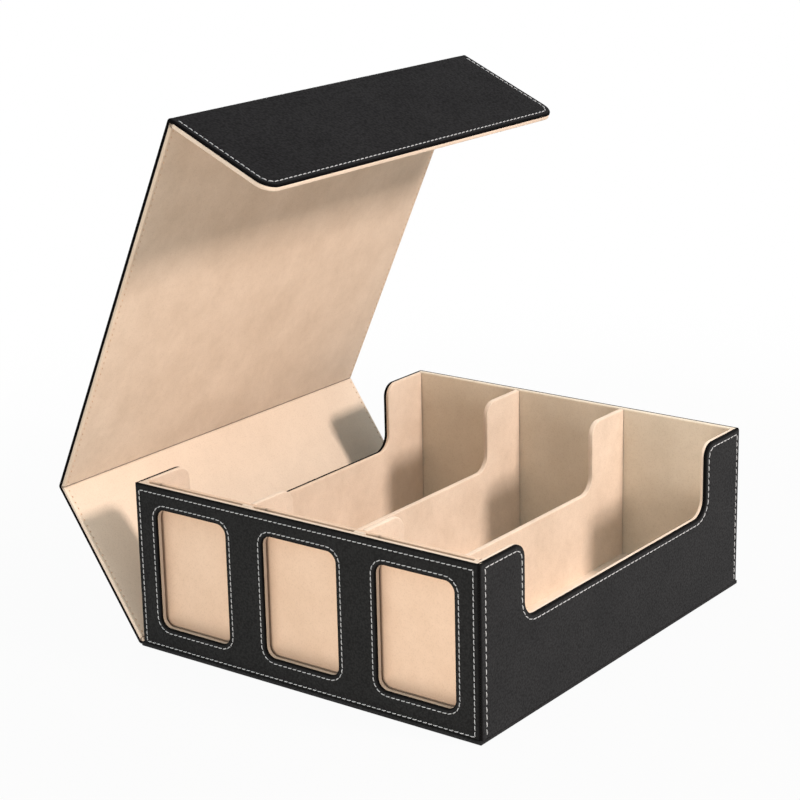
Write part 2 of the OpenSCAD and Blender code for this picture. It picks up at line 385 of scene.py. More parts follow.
@dataclass
class Outline:
    """The edge of a skin, as a row of points in its plane.

    inward moves a point by one unit squarely away from the edge, foot is where
    the skin's filling ends, and drop is how far an end column is turned over.
    """

    points: Array
    inward: Array
    foot: Array
    drop: Array

    def inset(self, distance: float) -> Array:
        """Gives the line at a distance inside the edge."""
        return self.points + distance * self.inward

    def mirrored(self) -> "Outline":
        """Gives the outline with its first coordinate turned round."""
        flip = np.array([-1.0, 1.0])
        turned = (v[::-1] * flip for v in (self.points, self.inward, self.foot))
        return Outline(*turned, self.drop[::-1])


Pair = tuple[Array, Array]


def straight(start: Array, end: Array, inward: Pair, foot: Pair, at: Array) -> Outline:
    """A straight stretch: start + t times (end - start), and likewise for its
    inward vectors and feet.

    Args:
        start: First point.
        end: Last point.
        inward: Inward vectors at both ends; a sharp corner has its diagonal.
        foot: Feet at both ends.
        at: The shares t.

    Returns:
        The stretch.
    """
    t = np.asarray(at, float)[:, None]
    rows = (a + t * (b - a) for a, b in ((start, end), inward, foot))
    return Outline(*rows, np.zeros(len(at)))


def bend(centre: Array, radius: float, turn: tuple, side: float, foot: Pair, count: int = 13) -> Outline:
    """A round stretch: centre + radius times (cos, sin) of an angle that goes
    from the first to the second turn in degrees; inward is side times the
    same (cos, sin)."""
    angle = np.radians(np.linspace(*turn, count))
    ray = np.stack([np.cos(angle), np.sin(angle)], -1)
    t = np.linspace(0, 1, count)[:, None]
    feet = foot[0] + t * (foot[1] - foot[0])
    return Outline(centre + radius * ray, side * ray, feet, np.zeros(count))


def joined(*parts: Outline) -> Outline:
    """Joins stretches end to end."""
    fields = ("points", "inward", "foot", "drop")
    return Outline(*(np.concatenate([getattr(p, name) for p in parts]) for name in fields))


def mitred(corners: Array, mitres: Array, feet: Array, count: int = 31) -> Outline:
    """An edge of straight stretches from each corner to the next.

    Args:
        corners: The corners.
        mitres: The inward vector in each.
        feet: The foot of each.
        count: Number of points in a stretch.

    Returns:
        The outline.
    """
    at = np.linspace(0, 1, count)
    pairs = zip(*(zip(v, v[1:]) for v in (corners, mitres, feet)))
    return joined(*(straight(*line, inward, foot, at) for line, inward, foot in pairs))


@dataclass(frozen=True)
class TurnedEdge:
    """How a skin goes over the edge of a board: a tuck between the two skins,
    up the edge, round it by a quarter circle and on to the face, which sinks a
    little under the stitching. flat is the first row behind the round, and
    dark how deep the painted shade gets at the edge and in the tuck."""

    radius: float
    drop: float
    reach: float = 9 * MM
    trough_at: float = 0.0
    trough_depth: float = 0.0
    trough_width: float = 0.8 * MM
    tuck: float = 0.35 * MM
    dark: float = 1.0
    flat: float = 0.35 * MM

    def face(self) -> Array:
        """Distances of the face's rows from the edge."""
        rows = [self.radius, self.radius + self.flat]
        if self.trough_at:
            rows += (self.trough_at + self.trough_width * np.array(TROUGH_ROWS)).tolist()
        return np.array(rows + [self.reach])

    def rows(self) -> Pair:
        """Each row's inset and its depth down the edge.

        The tuck is a small quarter circle into the seam, and the edge a
        larger one: inset r (1 - cos t), depth r (1 - sin t).
        """
        fold = np.radians([90, 60, 30, 0])
        turn = np.radians(np.linspace(0, 90, 6))[:-1]
        tucked, rounded = self.tuck * (1 - np.cos(fold)), self.radius * (1 - np.cos(turn))
        inset = np.concatenate([[TUCK_MOUTH * self.tuck], tucked, rounded, self.face()])
        tucked, rounded = self.tuck * (1 - np.sin(fold)), self.radius * (1 - np.sin(turn))
        depth = np.concatenate([[self.drop], self.drop - tucked, rounded, 0 * self.face()])
        return inset, depth

    def columns(self) -> Pair:
        """The same rows, without the tuck, for a skin's ends."""
        inset, depth = self.rows()
        return inset[TUCK_ROWS:], np.concatenate([[self.drop], depth[TUCK_ROWS + 1 :]])

    def depth(self, from_edge: Array, from_end: Array, seam: Array) -> Array:
        """Depth of the face at a distance from the edge and from the ends.

        It is r - sqrt(r^2 - a^2 - b^2), where a and b are how far a point is
        inside the two rounds, plus a bell-shaped trough under the stitching,
        which keeps a distance of its own, seam, from the ends.
        """
        r = self.radius
        a, b = (np.clip(r - d, 0, r) for d in (from_edge, from_end))
        sunk = 0.0
        if self.trough_at:
            off = np.minimum(from_edge, seam) - self.trough_at
            sunk = self.trough_depth * np.exp(-((off / self.trough_width) ** 2))
        return r - np.sqrt(np.maximum(r * r - a * a - b * b, 0)) + sunk

    def shade(self, near: Array) -> Array:
        """How much painted shade a point gets at a distance d: dark times exp(-(d / w)^2)."""
        return self.dark * np.exp(-((near / RIM_WIDTH) ** 2))


@dataclass(frozen=True)
class Grid:
    """A surface as a grid of points, with the painted shade of each."""

    points: Array
    rim: Array
    out: Array
    closed: bool = False


def cells(index: Array) -> Array:
    """Joins each point of a grid to the next in both directions.

    Args:
        index: The points' numbers, (..., rows, columns).

    Returns:
        The quads, (n, 4).
    """
    corners = (index[..., :-1, :-1], index[..., 1:, :-1], index[..., 1:, 1:], index[..., :-1, 1:])
    return np.stack(corners, -1).reshape(-1, 4)


def skin(
    plane: Plane,
    outline: Outline,
    edge: TurnedEdge,
    ends: tuple[float, float] | None = None,
    fill: int = 6,
    closed: bool = False,
    pull: float = 0.0,
) -> Grid:
    """A skin from its turned edge to its feet.

    Row j of the border is the outline moved inwards by the edge's inset j;
    the filling goes straight from the last of them to the feet.

    Args:
        plane: The face's plane.
        outline: The edge, with inward vectors and feet.
        edge: How the skin is turned over it.
        ends: First coordinates of the two ends, where those are turned too.
        fill: Number of rows in the filling.
        closed: Whether the outline meets itself.
        pull: How much further in the stitching lies at the first end.

    Returns:
        The grid.
    """
    inset, down = edge.rows()
    band = outline.points[:, None] + inset[None, :, None] * outline.inward[:, None]
    t = np.linspace(0, 1, fill + 1)[1:, None]
    filling = band[:, -1:] * (1 - t) + outline.foot[:, None] * t
    flat = np.concatenate([band, filling], 1)
    from_edge = np.broadcast_to(np.concatenate([inset, np.full(fill, FAR)]), flat.shape[:2])
    from_end = seam = np.full(flat.shape[:2], FAR)
    if ends is not None:
        first, last = flat[..., 0] - ends[0], ends[1] - flat[..., 0]
        from_end, seam = np.minimum(first, last), np.minimum(first - pull, last)
    wrap = np.concatenate([np.where(np.arange(len(inset)) < TUCK_ROWS, down, 0), np.zeros(fill)])
    depth = np.maximum(edge.depth(from_edge, from_end, seam), wrap)
    # Tucks take the full painted shade.
    near = np.where(wrap > 0, 0, np.minimum(from_edge, from_end))
    points = plane.place(flat, np.maximum(depth, outline.drop[:, None]))
    return Grid(points, edge.shade(near), np.array(plane.out, float), closed)


def corner_shaded(grid: Grid, y: float, dark: float = 0.85, width: float = 0.7 * MM) -> Grid:
    """Paints shade into a lining where it meets a wall: dark times
    exp(-(d / width)^2), with d the distance in Y.

    Args:
        grid: The lining.
        y: Where the wall is.
        dark: How dark the painted shade is.
        width: How wide it is.

    Returns:
        The darkened lining.
    """
    shade = dark * np.exp(-(((grid.points[..., 1] - y) / width) ** 2))
    return replace(grid, rim=np.maximum(grid.rim, shade))


@dataclass(frozen=True)
class Path:
    """A path across a panel or a fold, in the plane across Y: its points, the
    way its face looks at each, and how much painted shade its crease gets there."""

    points: Array
    normals: Array
    # Painted shade across a fold's crease.
    crease: Array | None = None


def sweep(path: Path, edge: TurnedEdge, half: float) -> Grid:
    """Carries a panel's cross-section along a path.

    The section runs from the tuck at -Y over the edge and the face to the tuck
    at +Y. A point of it lies at the path's point, less its depth along the
    path's normal, and at its own place in Y.

    Args:
        path: The path, of the face's surface.
        edge: How the skin is turned over both ends.
        half: Half of the depth in Y.

    Returns:
        The grid.
    """
    inset, down = edge.rows()
    far, tucked = np.full(len(inset), FAR), np.arange(len(inset)) < TUCK_ROWS
    section = np.where(tucked, down, edge.depth(inset, far, far)), np.where(tucked, 0, inset)
    depth, near = (np.concatenate([v, v[::-1]]) for v in section)
    y = np.concatenate([inset - half, half - inset[::-1]])
    sunk = path.points[:, None] - depth[None, :, None] * path.normals[:, None]
    points = sunk + y[None, :, None] * np.array(Y)
    shade = np.broadcast_to(edge.shade(near), points.shape[:2])
    if path.crease is not None:
        shade = np.maximum(shade, path.crease[:, None])
    return Grid(points, shade, path.normals.sum(0))


class Piece:
    """One visible piece: grids gathered into a single mesh object."""

    def __init__(self, name: str, finish: Finish, body: str) -> None:
        """Starts an empty piece.

        Args:
            name: The object's name.
            finish: What it is made of.
            body: The CAD body that it moves with, or "" for one that moves with none.
        """
        self.name, self.finish, self.body = name, finish, body
        self.points: list[Array] = []
        self.quads: list[Array] = []
        self.painted_shades: list[Array] = []
        self.count = 0

    def add_loose(self, points: Array, quads: Array, painted_shades: Array | float = 0.0) -> "Piece":
        """Adds points and quads as they are."""
        self.points.append(points)
        self.quads.append(quads + self.count)
        self.painted_shades.append(np.broadcast_to(np.asarray(painted_shades, float), len(points)))
        self.count += len(points)
        return self

    def add(self, grid: Grid) -> "Piece":
        """Adds a grid, its quads turned to face the grid's out direction."""
        index = np.arange(grid.rim.size).reshape(grid.rim.shape)
        if grid.closed:
            index = np.concatenate([index, index[:1]])
        quads, flat = cells(index), grid.points.reshape(-1, 3)
        a, b, c, d = (flat[quads[:, k]] for k in range(4))
        facing = np.cross(c - a, d - b).sum(0) @ grid.out
        return self.add_loose(flat, quads if facing > 0 else quads[:, ::-1], grid.rim.reshape(-1))

    def build(self, *nodes: str, sharp: float = 50.0) -> bpy.types.Object:
        """Makes the object, smooth but for sharp corners, and sets it in place
        of CAD nodes.

        Args:
            *nodes: The nodes that it stands for.
            sharp: Angle in degrees from which an edge stays sharp.

        Returns:
            The object.
        """
        points, quads, painted_shades = (np.concatenate(v) for v in (self.points, self.quads, self.painted_shades))
        mesh = bpy.data.meshes.new(self.name)
        mesh.from_pydata(points.tolist(), [], quads.tolist())
        shade = mesh.attributes.new("rim", "FLOAT", "POINT")
        shade.data.foreach_set("value", painted_shades.astype(np.float32))
        shell = bmesh.new()
        shell.from_mesh(mesh)
        bmesh.ops.remove_doubles(shell, verts=shell.verts, dist=WELD)
        bmesh.ops.dissolve_degenerate(shell, edges=shell.edges, dist=WELD / 10)
        shell.to_mesh(mesh)
        shell.free()
        mesh.polygons.foreach_set("use_smooth", np.ones(len(mesh.polygons), bool))
        mesh.set_sharp_from_angle(angle=math.radians(sharp))
        mesh.materials.append(self.finish.material())
        made = bpy.data.objects.new(self.name, mesh)
        bpy.context.scene.collection.objects.link(made)
        if self.body:
            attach(made, self.body)
        if nodes:
            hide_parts(*nodes)
        LOG.info("%s: %d faces, %s", self.name, len(mesh.polygons), self.finish.name)
        return made


@dataclass(frozen=True)
class Seam:
    """A row of lock stitches along a path. Each is a short thread that rises
    out of one needle hole and dives into the next."""

    pitch: float = 4.7 * MM
    length: float = 4.0 * MM
    radius: float = 0.33 * MM
    slant: float = 0.15 * MM
    # In radii: how high a stitch arches, how deep its ends are sunk and how
    # thick they are.
    arch: float = 1.6
    sink: float = 0.9
    tip: float = 0.55
    # Sides of the thread's section, and where along a stitch sections lie.
    sides: int = 6
    stations: tuple[float, ...] = (0, 0.1, 0.3, 0.5, 0.7, 0.9, 1.0)

    def sew(self, piece: Piece, path: Array, out: Array, closed: bool = False) -> Piece:
        """Adds a path's stitches to a piece.

        Stitch k runs between two points of the path at k + 1/2 pitches, less
        and plus half its length, set aside by the slant. Along it the thread's
        middle rises and its radius swells by 1 - (2 t - 1)^4, and round it the
        surface is a circle.

        Args:
            piece: The piece that gathers the thread.
            path: Points of the seam on the skin, (n, 3).
            out: The way the skin faces, (3,).
            closed: Whether the seam meets itself.

        Returns:
            The piece.
        """
        path = np.concatenate([path, path[:1]]) if closed else path
        steps = np.linalg.norm(np.diff(path, axis=0), axis=1)
        path = path[np.concatenate([[True], steps > WELD / 10])]
        run = np.concatenate([[0], np.cumsum(np.linalg.norm(np.diff(path, axis=0), axis=1))])
        total = max(int(round(run[-1] / self.pitch)), 1)
        middle = (np.arange(total) + 0.5) * run[-1] / total
        start, end = (
            np.stack([np.interp(middle + s * self.length / 2, run, path[:, i]) for i in range(3)], -1)
            for s in (-1, 1)
        )
        normal = np.broadcast_to(out / np.linalg.norm(out), start.shape)
        side = np.cross(normal, end - start)
        side /= np.linalg.norm(side, axis=1)[:, None]
        start, end = start - side * self.slant, end + side * self.slant
        t = np.array(self.stations)[None, :, None, None]
        full = 1 - (2 * t - 1) ** 4
        angle = np.linspace(0, 2 * np.pi, self.sides + 1)[:-1][None, None, :, None]
        rise = self.radius * (self.arch * full - self.sink)
        swell = self.radius * (self.tip + (1 - self.tip) * full)
        across = side[:, None, None] * np.cos(angle) + normal[:, None, None] * np.sin(angle)
        points = start[:, None, None] * (1 - t) + end[:, None, None] * t
        points = points + normal[:, None, None] * rise + across * swell
        shape = (total, len(self.stations), self.sides)
        index = np.arange(math.prod(shape)).reshape(shape)
        index = np.concatenate([index, index[..., :1]], -1)
        return piece.add_loose(points.reshape(-1, 3), cells(index)[:, [0, 3, 2, 1]])

    def sew_round(self, piece: Piece, plane: Plane, corners: Array, sunk: float, count: int) -> None:
        """Sews from corner to corner and back to the first, in straight lines
        of so many points each."""
        for start, end in zip(corners, np.roll(corners, -1, axis=0)):
            self.sew(piece, plane.lift(np.linspace(start, end, count), -sunk), np.array(plane.out))


# ---------------------------------------------------------------- the box


@dataclass(frozen=True)
class Sizes:
    """The box's shared sizes, in metres, as in the CAD."""

    half_w: float = 145 * MM
    half_d: float = 168 * MM
    height: float = 122 * MM
    base_t: float = 3 * MM
    skin_x: float = 144 * MM
    skin_y: float = 167 * MM
    inner_x: float = 139.6 * MM
    row_front: float = -157 * MM
    row_back: float = 162.6 * MM
    pocket_front: float = -163 * MM
    pocket_back: float = -160.2 * MM
    row_pitch: float = 94.4 * MM
    floor_z: float = 5.4 * MM
    scoop_front: float = -116.5 * MM
    scoop_back: float = 118 * MM
    scoop_z: float = 69 * MM
    crest_r: float = 10.5 * MM
    sweep_r: float = 12.5 * MM
    lid_y: float = 166.5 * MM
    lid_half: float = 2.7 * MM
    lid_gap: float = 1.2 * MM


BOX = Sizes()
# How deep the skins sink under a seam.
SUNK = 0.2 * MM
# How far a scooped wall's feet keep from its crest's middle and from the
# border of its scoop.
CREST_CLEAR, SCOOP_CLEAR = 0.6 * MM, 0.3 * MM
# A turned edge's dark is painted shade over the edge and in its tuck: full on the leather, none on the
# linings and under the base panel, less on the base panel's top and on the windows' lining reveals.
WALL_LEATHER = TurnedEdge(1.3 * MM, 2.8 * MM, 9 * MM, 3.8 * MM, SUNK)
WALL_LINING = TurnedEdge(0.9 * MM, 2.6 * MM, 6 * MM, dark=0.0)
BACK_LINING = TurnedEdge(0.9 * MM, 3.4 * MM, 6 * MM, dark=0.0)
PLAIN_LEATHER = TurnedEdge(1.0 * MM, 2.0 * MM, 8 * MM, 4.4 * MM, SUNK)
FRONT_LEATHER = TurnedEdge(1.0 * MM, 2.0 * MM, 8 * MM)
WINDOW_LEATHER = TurnedEdge(0.9 * MM, 1.9 * MM, 5.8 * MM, 3.3 * MM, SUNK, tuck=0.2 * MM)
FRONT_LINING = TurnedEdge(0.6 * MM, 3.0 * MM, 6 * MM, dark=0.0)
WINDOW_LINING = TurnedEdge(0.5 * MM, 3.08 * MM, 6 * MM, dark=0.35)
UNDER_LEATHER = TurnedEdge(0.8 * MM, 2.0 * MM, 8 * MM, tuck=0.12 * MM, dark=0.0)
OVER_LEATHER = TurnedEdge(0.5 * MM, 1.0 * MM, 4 * MM, tuck=0.12 * MM, dark=0.3)
LID_LEATHER = TurnedEdge(1.3 * MM, 2.9 * MM, 9 * MM, 4.4 * MM, SUNK)
LID_LINING = TurnedEdge(1.0 * MM, 2.48 * MM, 9 * MM, 2.9 * MM, 0.15 * MM, 0.6 * MM, dark=0.0)
FLAP_LEATHER = TurnedEdge(1.2 * MM, 2.1 * MM, 9 * MM, 4.1 * MM, SUNK)
FLAP_LINING = TurnedEdge(1.0 * MM, 3.28 * MM, 9 * MM, 2.9 * MM, 0.15 * MM, 0.6 * MM, dark=0.0)
# Stitch pitches and lengths as in the photo; the first is the flap's.
LID_SEAM = Seam()
WALL_SEAM = Seam(5.1 * MM, 4.3 * MM)
FRONT_SEAM = Seam(4.1 * MM, 3.5 * MM)
LINING_SEAM = Seam(4.7 * MM, 1.6 * MM, 0.3 * MM, 0.1 * MM)


def opposite(direction: Vec) -> Vec:
    """Gives the opposite direction."""
    return tuple(-v for v in direction)


def shoulder(end: float, scoop: float, foot_z: float, columns: Pair | None, edge: TurnedEdge) -> Outline:
    """The front half of a scooped wall's top edge, from its end to the scoop.

    Straight to the crest, a quarter circle round it, straight down, and a
    quarter circle that sweeps out to the low edge.

    Args:
        end: Where the wall ends, in Y.
        scoop: Where its scoop starts, in Y.
        foot_z: Height of the foot.
        columns: Insets and depths of the end's own columns, if it is turned.
        edge: The turned edge that follows it.

    Returns:
        The outline, with the front end first.
    """
    top, low, rc, rs = BOX.height, BOX.scoop_z, BOX.crest_r, BOX.sweep_r
    forward, crest = np.array([-1.0, 0.0]), np.array([scoop - rc, top - rc])
    stops = (end, crest[0], crest[0] + CREST_CLEAR, scoop - edge.reach - SCOOP_CLEAR, scoop + rs)
    feet = [np.array([y, foot_z]) for y in stops]
    at = np.linspace(0, 1, 5)
    if columns is not None:
        at = np.concatenate([columns[0] / (crest[0] - end), [0.7, 1.0]])
    first = straight(np.array([end, top]), np.array([crest[0], top]), (DOWN, DOWN), (feet[0], feet[1]), at)
    if columns is not None:
        first.drop[: len(columns[1])] = columns[1]
    round_off = bend(crest, rc, (90, 0), -1, (feet[1], feet[2]))
    edges = np.array([scoop, top - rc]), np.array([scoop, low + rs])
    fall = straight(*edges, (forward, forward), (feet[2], feet[3]), np.linspace(0, 1, 5))
    sweep_out = bend(np.array([scoop + rs, low + rs]), rs, (180, 270), 1, (feet[3], feet[4]))
    return joined(first, round_off, fall, sweep_out)


def scooped(front: float, back: float, foot_z: float, edge: TurnedEdge, turned: bool = False) -> Outline:
    """The whole top edge of a scooped wall, from front to back.

    The back half is a front half turned round, and a straight low edge joins
    the two. Its ends have columns of their own where they are turned.
    """
    columns = edge.columns() if turned else None
    fore = shoulder(front, BOX.scoop_front, foot_z, columns, edge)
    aft = shoulder(-back, -BOX.scoop_back, foot_z, columns, edge).mirrored()
    return joined(fore, bridge(fore, aft, 25), aft)


def bridge(first: Outline, second: Outline, count: int) -> Outline:
    """A straight edge from the end of one outline to the start of another."""
    feet = (first.foot[-1], second.foot[0])
    return straight(first.points[-1], second.points[0], (DOWN, DOWN), feet, np.linspace(0, 1, count))


def level(start: float, end: float, foot: float, edge: TurnedEdge | None = None, count: int = 25) -> Outline:
    """A level top edge over a level foot, with columns for turned ends."""
    at, drop = np.linspace(0, 1, count), np.zeros(0)
    if edge is not None:
        columns, drop = edge.columns()
        near = columns / (end - start)
        middle = np.linspace(near[-1], 1 - near[-1], count)[1:-1]
        at = np.concatenate([near, middle, 1 - near[::-1]])
    top, feet = ([np.array([x, z]) for x in (start, end)] for z in (BOX.height, foot))
    made = straight(*top, (DOWN, DOWN), tuple(feet), at)
    made.drop[: len(drop)] = drop
    made.drop[len(at) - len(drop) :] = drop[::-1]
    return made


class Side(Enum):
    """The two sides of the tray, by the sign of X."""

    LEFT = -1
    RIGHT = 1

    @property
    def word(self) -> str:
        """The side's name in the CAD nodes."""
        return self.name.lower()


@dataclass
class SideWall:
    """A scooped side wall: leather outside and suede inside, both turned over
    the whole of its edge. The stitching keeps further from its front end."""

    side: Side
    pull: float = 1.8 * MM
    # How far over the base panel the seams down its ends stop.
    seam_foot: float = 1.5 * MM

    def build(self) -> None:
        """Builds the two skins and the stitching."""
        s, word = self.side.value, self.side.word
        outer = Plane((s * BOX.half_w, 0, 0), Y, Z, (s, 0, 0))
        inner = Plane((s * BOX.inner_x, 0, 0), Y, Z, (-s, 0, 0))
        ends = (-BOX.skin_y, BOX.skin_y)
        line = scooped(*ends, BOX.base_t, WALL_LEATHER, True)
        leather = Piece(f"{word}_wall_leather_skin", LEATHER, "tray")
        leather.add(skin(outer, line, WALL_LEATHER, ends, pull=self.pull)).build(f"{word}_wall_leather")
        ends = (BOX.pocket_front, BOX.row_back)
        sheet = skin(inner, scooped(*ends, BOX.base_t, WALL_LINING, True), WALL_LINING, ends)
        lining = Piece(f"{word}_wall_suede_lining", SUEDE, "tray")
        # Painted shade in the corner against the back wall.
        lining.add(corner_shaded(sheet, BOX.row_back)).build(f"{word}_wall_lining")
        self.sew(outer)

    def sew(self, outer: Plane) -> None:
        """Sews along the scooped edge and down both ends."""
        at, low = WALL_LEATHER.trough_at, BOX.base_t + self.seam_foot
        path = scooped(-BOX.skin_y, BOX.skin_y, BOX.base_t, WALL_LEATHER).inset(at)
        top, ends = BOX.height - at, (-BOX.skin_y + at + self.pull, BOX.skin_y - at)
        inside = (path[:, 0] > ends[0]) & (path[:, 0] < ends[1])
        path = np.concatenate([[[ends[0], top]], path[inside], [[ends[1], top]]])
        thread = Piece(f"{self.side.word}_wall_stitching", THREAD, "tray")
        for line in (path, *(np.linspace((end, top), (end, low), 40) for end in ends)):
            WALL_SEAM.sew(thread, outer.lift(line, -SUNK), np.array(outer.out))
        thread.build()


@dataclass
class BackWall:
    """The plain back wall."""

    # How far its lining stops before the leather's ends.
    lining_inset: float = 1 * MM

    def build(self) -> None:
        """Builds its leather, its lining and its stitching."""
        outer = Plane((0, BOX.half_d, 0), X, Z, Y)
        inner = Plane((0, BOX.row_back, 0), X, Z, opposite(Y))
        x, low, at = BOX.skin_x, BOX.base_t, PLAIN_LEATHER.trough_at
        line = level(-x, x, low, PLAIN_LEATHER)
        leather = Piece("back_wall_leather_skin", LEATHER, "tray")
        leather.add(skin(outer, line, PLAIN_LEATHER, (-x, x))).build("back_wall_leather")
        lining = Piece("back_wall_suede_lining", BACK_LIT_SUEDE, "tray")
        line = level(-x + self.lining_inset, x - self.lining_inset, low)
        lining.add(skin(inner, line, BACK_LINING)).build("back_wall_lining")
        x, low, top = x - at, low + at, BOX.height - at
        corners = np.array([[-x, low], [-x, top], [x, top], [x, low]])
        thread = Piece("back_wall_stitching", THREAD, "tray")
        LID_SEAM.sew_round(thread, outer, corners, SUNK, 30)
        thread.build()


@dataclass
class FrontWall:
    """The front wall: a stitched leather face with three windows, whose board
    is lined with suede at the back, on top and round the windows."""

    window: tuple[float, float] = (62.5 * MM, 87.5 * MM)
    window_r: float = 7.5 * MM
    window_z: float = 62.5 * MM
    # How far the leather comes inside the window's board.
    cover: float = 0.08 * MM
    # From the face's edge to the seam: at the sides, below and above.
    seam_inset: Vec = (3.7 * MM, 2.0 * MM, 4.4 * MM)
    # Points in each stretch of a window's edge.
    count: int = 13

    def window_edge(self, x: float, low: Array, high: Array) -> Outline:
        """A window's edge, from its middle outwards over its share of the
        face: four straight stretches and four quarter circles, whose feet lie
        straight across from them on the share's edges and in its corners.

        Args:
            x: The window's centre.
            low: The share's lower left corner.
            high: The share's upper right corner.

        Returns:
            The outline, whose inward is away from the window.
        """
        r = self.window_r - self.cover
        halves = [size / 2 - self.window_r for size in self.window]
        middle = np.array([x, self.window_z])
        corners = [np.array([high[0], low[1]]), high, np.array([low[0], high[1]]), low]
        share = np.linspace(0, 1, self.count)
        t = share[:, None]
        parts = []
        for k, ray in enumerate(np.array([(1, 0), (0, 1), (-1, 0), (0, -1)], float)):
            side, near, axis = np.array([-ray[1], ray[0]]), corners[(k + 1) % 4], k % 2
            face = middle + ray * (halves[axis] + r)
            a, b = face - side * halves[1 - axis], face + side * halves[1 - axis]
            foot_a, foot_b = a.copy(), b.copy()
            foot_a[axis] = foot_b[axis] = near[axis]
            parts.append(straight(a, b, (ray, ray), (foot_a, foot_b), share))
            turn = bend(b - ray * r, r, (90 * k, 90 * k + 90), 1, (near, near), self.count)
            foot_c = b - ray * r + side * r
            foot_c[1 - axis] = near[1 - axis]
            before, after = foot_b + 2 * t * (near - foot_b), near + (2 * t - 1) * (foot_c - near)
            turn.foot = np.where(t <= 0.5, before, after)
            parts.append(turn)
        return joined(*parts)

    def frame_edge(self, reach: float) -> Outline:
        """The face's own edge: a rectangle with mitred corners, whose feet are
        the rectangle that lies one reach inside."""
        x, low, high = BOX.skin_x, BOX.base_t, BOX.height
        corners = np.array([[-x, low], [x, low], [x, high], [-x, high]])
        mitres = np.array([[1, 1], [-1, 1], [-1, -1], [1, -1]], float)
        rows = (corners, mitres, corners + reach * mitres)
        return mitred(*(np.concatenate([v, v[:1]]) for v in rows))

    def sheet(self, piece: Piece, plane: Plane, border: TurnedEdge, hole: TurnedEdge) -> Piece:
        """Adds a skin with three windows: its border and three window shares."""
        piece.add(skin(plane, self.frame_edge(border.reach), border, fill=1, closed=True))
        x, pitch = BOX.skin_x - border.reach, BOX.row_pitch
        low, high = BOX.base_t + border.reach, BOX.height - border.reach
        cuts = [np.array(v) for v in (-x, -pitch / 2, pitch / 2, x)]
        for i in range(3):
            share = np.array([cuts[i], low]), np.array([cuts[i + 1], high])
            piece.add(skin(plane, self.window_edge((i - 1) * pitch, *share), hole, fill=4, closed=True))
        return piece

    def build(self) -> None:
        """Builds the face, the lining and the stitching."""
        outer = Plane((0, -BOX.half_d, 0), X, Z, opposite(Y))
        inner = Plane((0, BOX.pocket_front, 0), X, Z, Y)
        leather = Piece("front_wall_leather_skin", FRONT_SHADED_LEATHER, "tray")
        self.sheet(leather, outer, FRONT_LEATHER, WINDOW_LEATHER).build("front_leather")
        lining = Piece("front_wall_suede_lining", SUEDE, "tray")
        self.sheet(lining, inner, FRONT_LINING, WINDOW_LINING).build("front_lining")
        self.sew(outer)

    def sew(self, outer: Plane) -> None:
        """Sews round the face and round each window."""
        side, below, above = self.seam_inset
        x, low, high = BOX.skin_x - side, BOX.base_t + below, BOX.height - above
        thread = Piece("front_wall_stitching", THREAD, "tray")
        corners = np.array([[-x, low], [x, low], [x, high], [-x, high]])
        FRONT_SEAM.sew_round(thread, outer, corners, 0.0, 40)
        for i in range(3):
            edge = self.window_edge((i - 1) * BOX.row_pitch, np.zeros(2), np.ones(2))
            ring = outer.lift(edge.inset(WINDOW_LEATHER.trough_at), -SUNK)
            FRONT_SEAM.sew(thread, ring, np.array(outer.out), True)
        thread.build()


@dataclass
class PocketBack:
    """The suede-covered board behind the card pockets. It is painted with shade
    low and left in each window, where the recess shades it."""

    # Foot and left edge of the painted shade, from the window's middle in X.
    foot_z: float = 17 * MM
    left_x: float = -32.5 * MM

    def painted_recess_shade(self, x: Array, z: Array) -> Array:
        """How much painted shade the cover gets: the most of three bells, dark
        times exp(-(d / width)^2), over the distance d in millimetres from a
        window's foot or from its left edge."""
        across = (x + 1.5 * BOX.row_pitch) % BOX.row_pitch - BOX.row_pitch / 2
        foot, side = (z - self.foot_z) / MM, (across - self.left_x) / MM
        bells = ((0.45, foot, 9), (0.7, side, 1.4), (0.25, side, 6))
        return np.maximum.reduce([dark * np.exp(-((d / width) ** 2)) for dark, d, width in bells])

    def build(self) -> None:
        """Builds the cover: two skins that meet on the board's top edge. The
        front one is fine enough for its painted shade."""
        x, low = BOX.inner_x, BOX.base_t
        edge = TurnedEdge(0.8 * MM, (BOX.row_front - BOX.pocket_back) / 2, 6 * MM, dark=0.0)
        cover = Piece("pocket_back_suede_cover", POCKET_WARM_LIT_SUEDE, "tray")
        outer = Plane((0, BOX.pocket_back, 0), X, Z, opposite(Y))
        front = skin(outer, level(-x, x, low, count=241), edge, fill=60)
        # Painted shade low and left in each window's recess.
        cover.add(replace(front, rim=self.painted_recess_shade(front.points[..., 0], front.points[..., 2])))
        cover.add(skin(Plane((0, BOX.row_front, 0), X, Z, Y), level(-x, x, low), edge))
        cover.build("pocket_back_cover")


@dataclass
class Divider:
    """A divider between two rows: suede wrapped round a scooped board, with
    its overlap showing as a crease along the edge."""

    side: Side
    half_t: float = 2 * MM
    crease: float = 1.35 * MM

    def build(self) -> None:
        """Builds the cover from a wide left skin and a narrow right one."""
        x = self.side.value * BOX.row_pitch / 2
        left = TurnedEdge(1.1 * MM, 2 * self.half_t - self.crease, 6 * MM, dark=0.0)
        right = TurnedEdge(0.9 * MM, self.crease, 6 * MM, dark=0.0)
        ends = (BOX.row_front, BOX.row_back)
        cover = Piece(f"divider_{self.side.word}_suede_cover", SUEDE, "tray")
        for edge, sign in ((left, -1), (right, 1)):
            plane = Plane((x + sign * self.half_t, 0, 0), Y, Z, (sign, 0, 0))
            sheet = skin(plane, scooped(*ends, BOX.floor_z, edge, True), edge, ends)
            # Painted shade in the corner against the back wall.
            cover.add(corner_shaded(sheet, BOX.row_back))
        cover.build(f"divider_{self.side.word}_cover")


